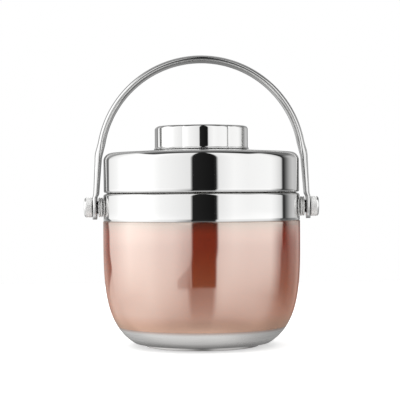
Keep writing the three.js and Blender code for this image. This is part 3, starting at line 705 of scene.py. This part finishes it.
def bail_steel():
    """Tube and strap polished along their length, with streaks, and painted reflection lines that follow the
    bow.
    """
    material, n, shader = principled("polished_bail_steel", (0.78, 0.78, 0.775), 1.0, 0.14)
    x, y, z = n.split()
    bow = n.length(x, n.math("MAXIMUM", n.math("SUBTRACT", z, BAIL_CENTRE * MM), 0.0))
    along = n.plus(n.times(z, STREAK_ALONG[0]), n.times(x, STREAK_ALONG[1]))
    streaks = n.noise(1.0, 3.0, n.joined(n.times(bow, STREAK_FINE), n.times(y, STREAK_FINE), along))
    # painted reflection: light and dark lines across the tube's thickness, mixed into the colour with the
    # streaks
    across = n.times(n.math("SUBTRACT", bow, BAIL_RADIUS * MM), 2 * math.pi / LINE_PITCH)
    lines = n.times(n.math("COSINE", across), n.step(z, *ARCH_PAINTED_LINES))
    shade = n.plus(n.step(streaks, 0.3, 0.7, -0.3, 0.3), lines)
    colour = n.tinted(n.line(shade, -1.0, 1.0), (0.55, 0.55, 0.545), (0.98, 0.98, 0.975))
    n.feed(shader.inputs["Base Color"], colour)
    n.feed(shader.inputs["Roughness"], n.step(streaks, 0.3, 0.75, 0.1, 0.2))
    n.feed(shader.inputs["Normal"], n.bump(streaks, 0.04, 0.0004))
    return material


def pivot_steel():
    """Tumbled steel of the small turned pieces, with a fine grain, and nuts with polished ends."""
    material, n, shader = principled("tumbled_steel", (0.88, 0.88, 0.87), 0.4, 0.4)
    grain = n.noise(4500.0)
    end = n.step(n.math("ABSOLUTE", n.split()[0]), *NUT_POLISHED)
    n.feed(shader.inputs["Roughness"], n.blend(end, n.step(grain, 0.25, 0.8, 0.38, 0.44), 0.07))
    n.feed(shader.inputs["Metallic"], n.blend(end, 0.38, 1.0))
    n.feed(shader.inputs["Base Color"], n.tinted(n.noise(220.0), (0.87, 0.87, 0.86), (0.89, 0.89, 0.88)))
    n.feed(shader.inputs["Normal"], n.bump(grain, 0.01, 0.00005))
    return material


def satin_steel(name, paint=None):
    """Bare steel brushed round the pot. Under paint it is tinted, and a painted contact shadow darkens it
    towards the foot.
    """
    material, n, shader = principled(name, (0.8, 0.795, 0.78), 1.0, 0.32)
    lines = n.noise(1.0, 4.0, n.turned(2600, 2.0))
    n.feed(shader.inputs["Roughness"], n.step(lines, 0.25, 0.8, 0.24, 0.42))
    colour = n.tinted(lines, (0.84, 0.83, 0.815), (0.9, 0.89, 0.875))
    if paint:
        height = n.split()[2]
        # painted shadow: the colour darkens towards the foot in place of the contact shadow
        colour = n.tinted(n.step(height, *BASE_PAINTED_SHADOW, 1.0, 0.0), colour, (0.56, 0.55, 0.54))
        spill = n.step(height, *(paint * MM + z for z in PAINT_SPILL))
        colour = n.tinted(spill, colour, (0.62, 0.45, 0.39))
    n.feed(shader.inputs["Base Color"], colour)
    n.feed(shader.inputs["Normal"], n.bump(lines, 0.12, 0.0003))
    return material


def lacquer():
    """Tinted lacquer: a warm, near-mirror gloss over a deep copper red, lighter low on the wall, paler where
    it thins out above the paint line, and darker just under the collar.
    """
    material, n, shader = principled(
        "copper_lacquer", (0.36, 0.045, 0.02), 0.0, 0.06, IOR=6.8, Specular_Tint=(1.0, 0.94, 0.855, 1.0)
    )
    height = n.split()[2]
    flakes = n.noise(900.0)
    low = n.tinted(flakes, (0.50, 0.1, 0.008), (0.54, 0.11, 0.01))
    high = n.tinted(flakes, (0.34, 0.036, 0.01), (0.37, 0.04, 0.012))
    dark_top = n.tinted(flakes, (0.15, 0.025, 0.01), (0.16, 0.028, 0.011))
    copper = n.tinted(n.line(height, *PAINT_FADE), low, high)
    copper = n.tinted(n.step(height, *PAINT_DARK_TOP), copper, dark_top)
    deep = n.step(height, *PAINT_DEEP, 1.0, 0.0)
    n.feed(shader.inputs["Base Color"], n.tinted(deep, copper, (0.6, 0.28, 0.16)))
    n.feed(shader.inputs["Metallic"], n.times(deep, 0.5))
    n.feed(shader.inputs["Roughness"], n.step(flakes, 0.2, 0.8, 0.045, 0.07))
    n.feed(shader.inputs["Normal"], n.bump(n.noise(14.0, 0.0), 0.03, 0.001))
    return material


def plastic(name, colour, roughness, grain=1400.0, spread=0.03):
    """Moulded plastic or rubber with a fine grain and a little unevenness of tone."""
    material, n, shader = principled(name, colour, 0.0, roughness)
    fine = n.noise(grain, 3.0)
    low = tuple(c * (1 - spread) for c in colour)
    high = tuple(min(c * (1 + spread), 1.0) for c in colour)
    n.feed(shader.inputs["Base Color"], n.tinted(n.noise(60.0), low, high))
    n.feed(shader.inputs["Roughness"], n.step(fine, 0.2, 0.8, roughness - 0.08, roughness + 0.08))
    n.feed(shader.inputs["Normal"], n.bump(fine, 0.1, 0.0002))
    return material


def dress():
    """Makes every shown piece, and gives the CAD nodes that stay their materials."""
    polished, tumbled, satin = polished_steel(), pivot_steel(), satin_steel("brushed_steel")
    grey = plastic("grey_plastic", (0.12, 0.12, 0.125), 0.5)
    # painted shade: the spacers are near black so that the gap between strap and washer shows as deep shade
    black = plastic("black_rubber", (0.02, 0.02, 0.02), 0.6)

    def show(piece, node, body, material):
        piece.data.materials.clear()
        piece.data.materials.append(material)
        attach(piece, body)
        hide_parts(node)

    show(make_wall(), "outer_shell", "vessel", lacquer())
    show(make_base(), "base_cup", "vessel", satin_steel("brushed_base_steel", WELD_HEIGHT))
    show(make_base_cover(), "base_cover", "vessel", satin)
    show(make_collar(), "collar_band", "vessel", polished)
    show(make_lid(), "lid_shell", "lid", polished)
    show(make_knob(), "lid_knob", "lid", polished)
    show(make_bail(), "bail", "bail", bail_steel())
    for side, sign in (("right", 1), ("left", -1)):
        for node, piece in make_pivot(side, sign).items():
            # painted shade: the spacers take the near-black material in place of the gap's shade
            dark = node.startswith("spacer")
            slot, material = ("grey_plastic", black) if dark else ("polished_steel", tumbled)
            show(piece, node, "vessel", material)
    kept = [
        (satin, ["inner_liner", "knob_screw", "pivot_stud_right", "pivot_stud_left"]),
        (plastic("white_plastic", (0.82, 0.81, 0.78), 0.35), ["neck_ring", "inner_lid"]),
        (grey, ["knob_core", "bail_bush_right", "bail_bush_left"]),
        (plastic("silicone", (0.7, 0.7, 0.67), 0.55), ["lid_gasket"]),
        (plastic("foam", (0.88, 0.87, 0.83), 0.9, 500.0), ["lid_insulation"]),
    ]
    for material, names in kept:
        for name in names:
            for material_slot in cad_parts[name].material_slots:
                material_slot.material = material


# Studio

FLOOR_LIFT = 0.45  # keeps the table white to the camera
FLOOR_CORNERS = [(-0.6, -0.6), (0.6, -0.6), (0.6, 0.7), (-0.6, 0.7)]
LAMP_SIZE = 2.4
LAMP_PLACE = (0.0, 0.1, 1.6)
LAMP_POWER = 34.0
LENS = 125.8  # in millimetres, like the sensor
SENSOR = 36.0
CAMERA_PLACE = (-0.00106, -1.032, 0.112)
CAMERA_PITCH = 90.0 - 0.27
CAMERA_ROLL = -0.4
SURROUND = 1.55  # brightness of a full level in the rows below

# The studio as the pot mirrors it, in rows of (direction, level). Direction 0 is the camera's side, and 90 is
# to the right.
ROUND_STOPS = [
    # behind the pot, on the left
    (-180, 0.12), (-172, 0.4), (-160, 0.32), (-147, 0.145), (-139.5, 0.08),
    # the left panel
    (-137, 0.65), (-117, 0.745), (-93, 1.0), (-63, 0.86), (-48, 0.74), (-13, 0.63), (-11.7, 0.6),
    # the dark gap round the camera
    (-10.9, 0.012), (14, 0.006), (17.8, 0.02),
    # the right panel
    (18.9, 0.6), (21, 0.65), (38, 0.75), (55, 0.72), (88, 0.75), (95, 0.69), (104, 0.56), (107.4, 0.42),
    # the dark gap at its end, and behind the pot on the right
    (108.7, 0.03), (112, 0.018), (117.5, 0.13), (125, 0.31), (134, 0.43), (152, 0.38), (161, 0.1),
    (180, 0.12),
]

# The table, as the pot mirrors it from 16 and from 45 below the horizon
TABLE_FAR = [
    # behind the pot, and before the left panel
    (-180, 0.12), (-165, 0.3), (-150, 0.5), (-140, 0.5), (-122, 0.52), (-100, 0.6), (-65, 0.68),
    (-38, 0.55), (-26, 0.48), (-17, 0.4),
    # before the camera, and before the right panel
    (-12, 0.15), (-8, 0.13), (14, 0.14), (17, 0.3), (20, 0.5), (27, 0.56), (67, 0.48), (87, 0.38),
    # behind the pot on the right
    (99, 0.23), (108, 0.16), (120, 0.13), (145, 0.2), (165, 0.2), (180, 0.12),
]
TABLE_NEAR = [
    (-180, 0.12), (-150, 0.25), (-115, 0.54), (-85, 0.5), (-50, 0.36), (-25, 0.31), (-10, 0.25),
    (12, 0.25), (20, 0.3), (60, 0.3), (85, 0.33), (120, 0.28), (150, 0.2), (180, 0.1),
]
TABLE_FAR_DOWN = 16.0
TABLE_NEAR_DOWN = 45.0
TABLE_UNDER_DOWN = (48.0, 75.0)  # from here on, the table right under the pot
TABLE_UNDER = 0.5
TABLE_UNDER_BACK = 0.3
TABLE_BACK = (100.0, 140.0)  # directions between which the back begins

# The panels' edges aren't upright below the horizon. Each row is a window of directions, and the shifts that
# it gets, as (start, end, shift) with start and end below the horizon.
EDGE_SHIFTS = [
    ((-400.0, -399.0, -128.0, -115.0), [(1.2, 1.6, -3.0), (2.2, 4.8, -5.0)]),
    ((96.0, 103.0, 112.0, 118.0), [(1.2, 1.6, 1.2)]),
    ((4.0, 10.0, 40.0, 60.0), [(2.5, 5.0, 1.6)]),
    ((-40.0, -20.0, -8.0, -2.0), [(3.0, 6.0, 1.2)]),
]

# Where the table takes over below the horizon: softly under the panels, and sharply under each dark gap. A
# gap has two directions, the depth at which it ends, and how much that end slants.
TABLE_START = (1.0, 16.0)
TABLE_CURVE = 0.85
GAPS = [(-158.0, -138.0, 6.5, 0.18), (-12.0, 18.3, 14.5, 0.0), (105.0, 117.0, 2.6, 0.0)]
GAP_SLANT_FROM = 146.0
GAP_SIDE = 0.5
GAP_FOOT = 0.8

# Shades on the table beside the gaps: windows of directions and below the horizon, and the light that is left
SHADES = [
    ((-36.0, -11.0, -5.0, -3.0), (0.8, 1.5, 13.0, 18.0), 0.75),
    ((84.0, 106.0, 135.0, 155.0), (0.8, 2.0, 8.0, 20.0), 0.5),
]

# A wedge-shaped shadow left of the camera's gap, whose upper edge slants
WEDGE_ROUND = (-29.0, -27.0, -13.0, -11.0)
WEDGE_SLANT = 0.3
WEDGE_SLANT_FROM = 16.0
WEDGE_TOP = (6.5, 7.5)
WEDGE_FOOT = (13.5, 16.0)
WEDGE_LEFT = 0.7

# A haze over the table, and a bright line along its far edge
HAZE = 0.02
HAZE_DOWN = (2.0, 14.0)
FAR_EDGE_DOWN = (0.7, 1.1, 1.7, 2.7)
FAR_EDGE_GAIN = 1.1

# The wall high behind the pot, and the dark corner over the right gap
BACK_LEVEL = 0.27
BACK_ROUND = (125.0, 150.0)
BACK_UP = (6.0, 14.0)
CORNER_ROUND = (104.0, 110.0, 142.0, 162.0)
CORNER_UP = (14.0, 26.0)
CORNER_LEFT = 0.33

# The dark ceiling, from its front edge to where the wall behind it shows, with its levels from left to right
CEILING_UP = (46.0, 55.0)
CEILING_FRONT = (-0.24, -0.08)
CEILING_END = (0.28, 0.45)
CEILING_ROUND = (-100.0, 0.0)
CEILING_LEVELS = (0.06, 0.03)


def surround_azimuth(n, azimuth, down):
    """The direction, shifted below the horizon by the slant of the panels' edges."""
    for where, shifts in EDGE_SHIFTS:
        shift = 0.0
        for start, end, amount in shifts:
            shift = n.plus(shift, n.step(down, start, end, 0.0, amount))
        azimuth = n.plus(azimuth, n.times(n.window(azimuth, *where), shift))
    return azimuth


def surround_table(n, azimuth, down):
    """The table's level, by how steeply the pot sees it."""
    far = n.ramp(azimuth, TABLE_FAR, -180.0, 180.0)
    near = n.ramp(azimuth, TABLE_NEAR, -180.0, 180.0)
    seen = n.blend(n.line(down, TABLE_FAR_DOWN, TABLE_NEAR_DOWN), far, near)
    behind = n.step(n.math("ABSOLUTE", azimuth), *TABLE_BACK)
    under = n.blend(behind, TABLE_UNDER, TABLE_UNDER_BACK)
    return n.blend(n.step(down, *TABLE_UNDER_DOWN), seen, under)


def table_share(n, azimuth, down):
    """0 where the pot mirrors the panels and gaps, and 1 where it mirrors the table."""
    share = n.math("POWER", n.line(down, *TABLE_START), TABLE_CURVE)
    for start, end, depth, slant in GAPS:
        sides = (start - GAP_SIDE, start + GAP_SIDE, end - GAP_SIDE, end + GAP_SIDE)
        place = n.plus(down, n.times(n.plus(azimuth, GAP_SLANT_FROM), slant))
        foot = n.step(place, depth - GAP_FOOT, depth + GAP_FOOT)
        share = n.blend(n.window(azimuth, *sides), share, foot)
    return share


def surround_level(n, azimuth, down, y):
    """Brightness of the studio in one direction."""

    def shade(level, where, left):
        return n.times(level, n.blend(where, 1.0, left))

    up = n.times(down, -1.0)
    panels = n.ramp(azimuth, ROUND_STOPS, -180.0, 180.0)
    table = surround_table(n, azimuth, down)
    level = n.blend(table_share(n, azimuth, down), panels, table)
    for round_window, down_window, left in SHADES:
        where = n.times(n.window(azimuth, *round_window), n.window(down, *down_window))
        level = shade(level, where, left)

    slant = n.plus(down, n.times(n.plus(azimuth, WEDGE_SLANT_FROM), WEDGE_SLANT))
    height = n.times(n.step(slant, *WEDGE_TOP), n.step(down, *WEDGE_FOOT, 1.0, 0.0))
    level = shade(level, n.times(n.window(azimuth, *WEDGE_ROUND), height), WEDGE_LEFT)
    level = n.plus(level, n.times(n.line(down, *HAZE_DOWN), HAZE))
    level = shade(level, n.window(down, *FAR_EDGE_DOWN), FAR_EDGE_GAIN)

    back = n.times(n.step(n.math("ABSOLUTE", azimuth), *BACK_ROUND), n.step(up, *BACK_UP))
    level = n.blend(back, level, BACK_LEVEL)
    corner = n.times(n.window(azimuth, *CORNER_ROUND), n.step(up, *CORNER_UP))
    level = shade(level, corner, CORNER_LEFT)
    ceiling = n.times(n.step(y, *CEILING_FRONT), n.step(up, *CEILING_UP))
    dark = n.step(azimuth, *CEILING_ROUND, *CEILING_LEVELS)
    return n.blend(ceiling, level, n.blend(n.step(y, *CEILING_END), dark, BACK_LEVEL))


def make_surround():
    """The studio in the pot's reflections, and plain white to the camera."""
    world = bpy.data.worlds.new("studio")
    bpy.context.scene.world = world
    world.use_nodes = True
    tree = world.node_tree
    tree.nodes.clear()
    n = Nodes(tree)
    x, y, z = n.split(n.add("ShaderNodeTexCoord").outputs["Generated"])
    azimuth = n.times(n.math("ARCTAN2", x, n.times(y, -1.0)), 180 / math.pi)
    down = n.times(n.math("ARCSINE", z), -180 / math.pi)
    light = n.add("ShaderNodeBackground")
    n.feed(light.inputs["Color"], surround_level(n, surround_azimuth(n, azimuth, down), down, y))
    light.inputs["Strength"].default_value = SURROUND
    white = n.add("ShaderNodeBackground")
    white.inputs["Color"].default_value = (1, 1, 1, 1)
    seen = n.add("ShaderNodeLightPath").outputs["Is Camera Ray"]
    either = n.feed_all(n.add("ShaderNodeMixShader"), seen, light.outputs[0], white.outputs[0])
    n.feed(n.add("ShaderNodeOutputWorld").inputs[0], either.outputs[0])


def make_floor():
    floor = new_piece("floor", [(x / MM, y / MM, 0.0) for x, y in FLOOR_CORNERS], [[0, 1, 2, 3]])
    material, n, shader = principled("white_table", (0.85, 0.85, 0.85), 0.0, 0.5)
    n.feed(shader.inputs["Base Color"], n.tinted(n.noise(3.0), (0.84, 0.84, 0.84), (0.86, 0.86, 0.86)))
    shader.inputs["Emission Color"].default_value = (1, 1, 1, 1)
    seen = n.add("ShaderNodeLightPath").outputs["Is Camera Ray"]
    n.feed(shader.inputs["Emission Strength"], n.times(seen, FLOOR_LIFT))
    floor.data.materials.append(material)
    floor.visible_glossy = False


def make_lights():
    data = bpy.data.lights.new("overhead", "AREA")
    data.shape = "RECTANGLE"
    data.size, data.size_y = LAMP_SIZE, LAMP_SIZE
    data.energy = LAMP_POWER
    lamp = bpy.data.objects.new("overhead", data)
    lamp.location = LAMP_PLACE
    lamp.visible_glossy = False
    lamp.visible_camera = False
    bpy.context.collection.objects.link(lamp)


def make_camera():
    data = bpy.data.cameras.new("camera")
    data.lens = LENS
    data.sensor_width = SENSOR
    data.clip_start, data.clip_end = 0.05, 20.0
    camera = bpy.data.objects.new("camera", data)
    pitch = Matrix.Rotation(math.radians(CAMERA_PITCH), 4, "X")
    roll = Matrix.Rotation(math.radians(CAMERA_ROLL), 4, "Z")
    camera.matrix_world = Matrix.Translation(CAMERA_PLACE) @ pitch @ roll
    bpy.context.collection.objects.link(camera)
    bpy.context.scene.camera = camera


dress()
make_surround()
make_floor()
make_lights()
make_camera()
bpy.context.scene.view_settings.view_transform = "Standard"
